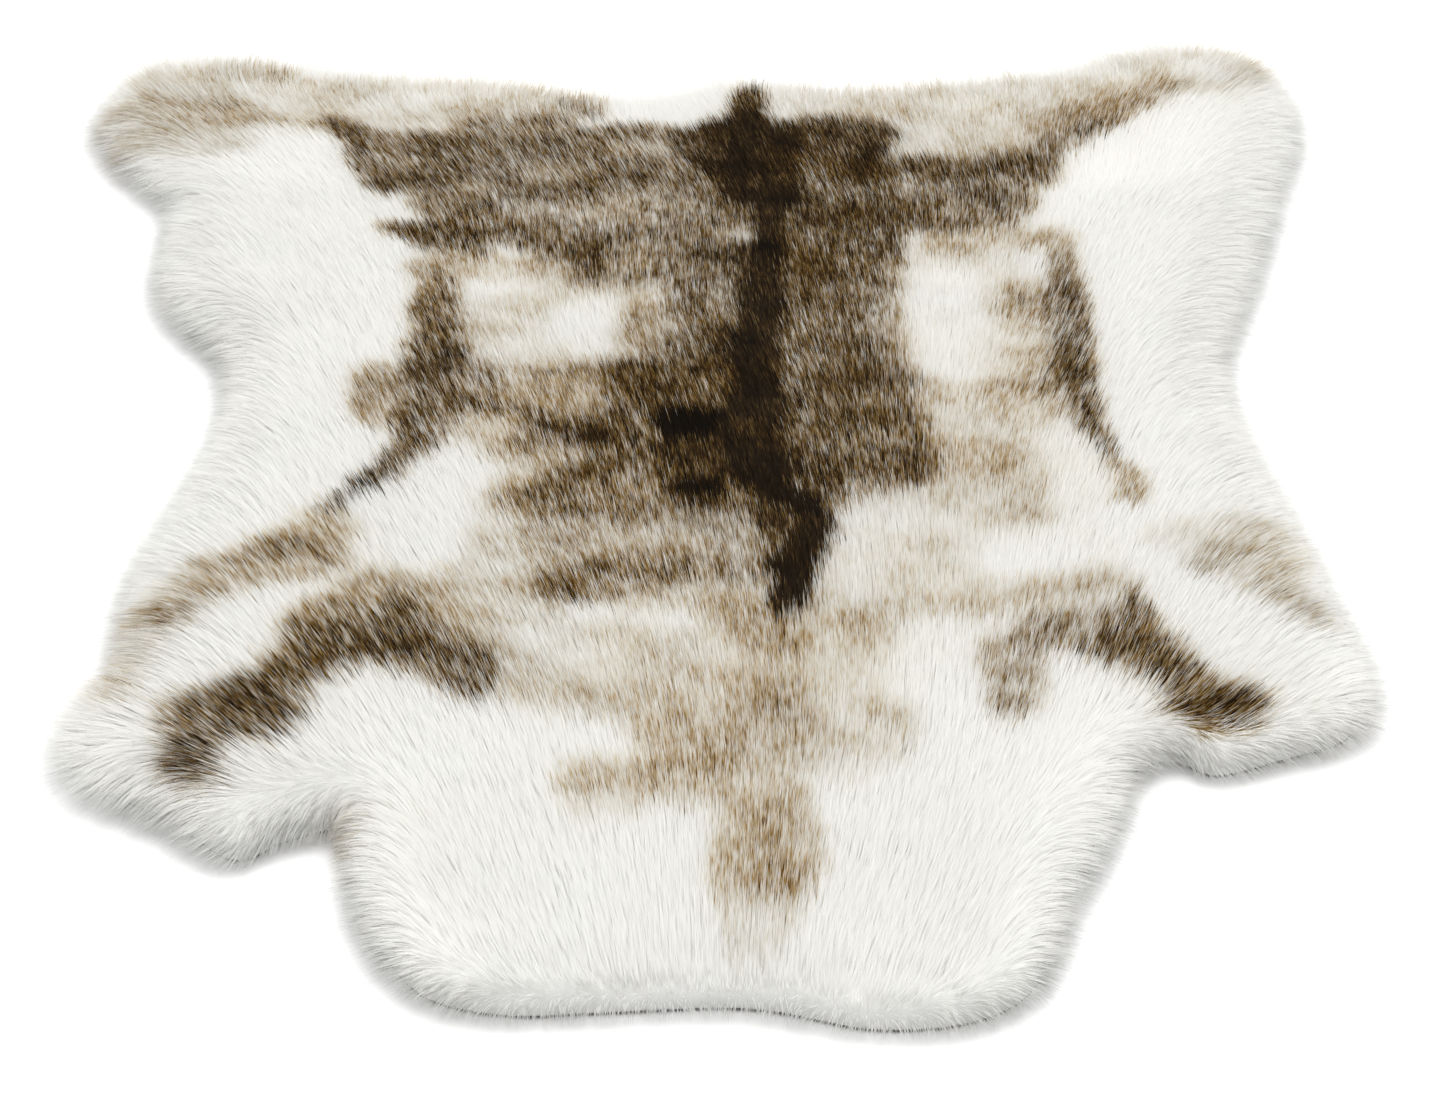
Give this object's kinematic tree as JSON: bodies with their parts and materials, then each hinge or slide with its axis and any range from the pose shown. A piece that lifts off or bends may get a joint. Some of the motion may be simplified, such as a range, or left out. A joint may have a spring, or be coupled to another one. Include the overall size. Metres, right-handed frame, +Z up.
{
  "type": "fur rug",
  "caption": "Flat fur rug in the outline of a whole hide: long mottled pile, with locks round its rim, on a thin cloth backing. It lies on a floor.",
  "frame": {"origin": "on the floor, under the middle of the rug's box", "axes": "+Z up from the floor, +Y along the back from the neck to the tail, +X to the right of someone who stands at the neck and looks towards the tail"},
  "size_m": [1.1008, 1.2536, 0.0407],
  "materials": {
    "fur": "long soft pile, white with brown and near-black mottling",
    "backing_cloth": "dull grey woven cloth"
  },
  "bodies": {
    "root": {"pile": "fur", "backing": "backing_cloth"}
  },
  "joints": []
}
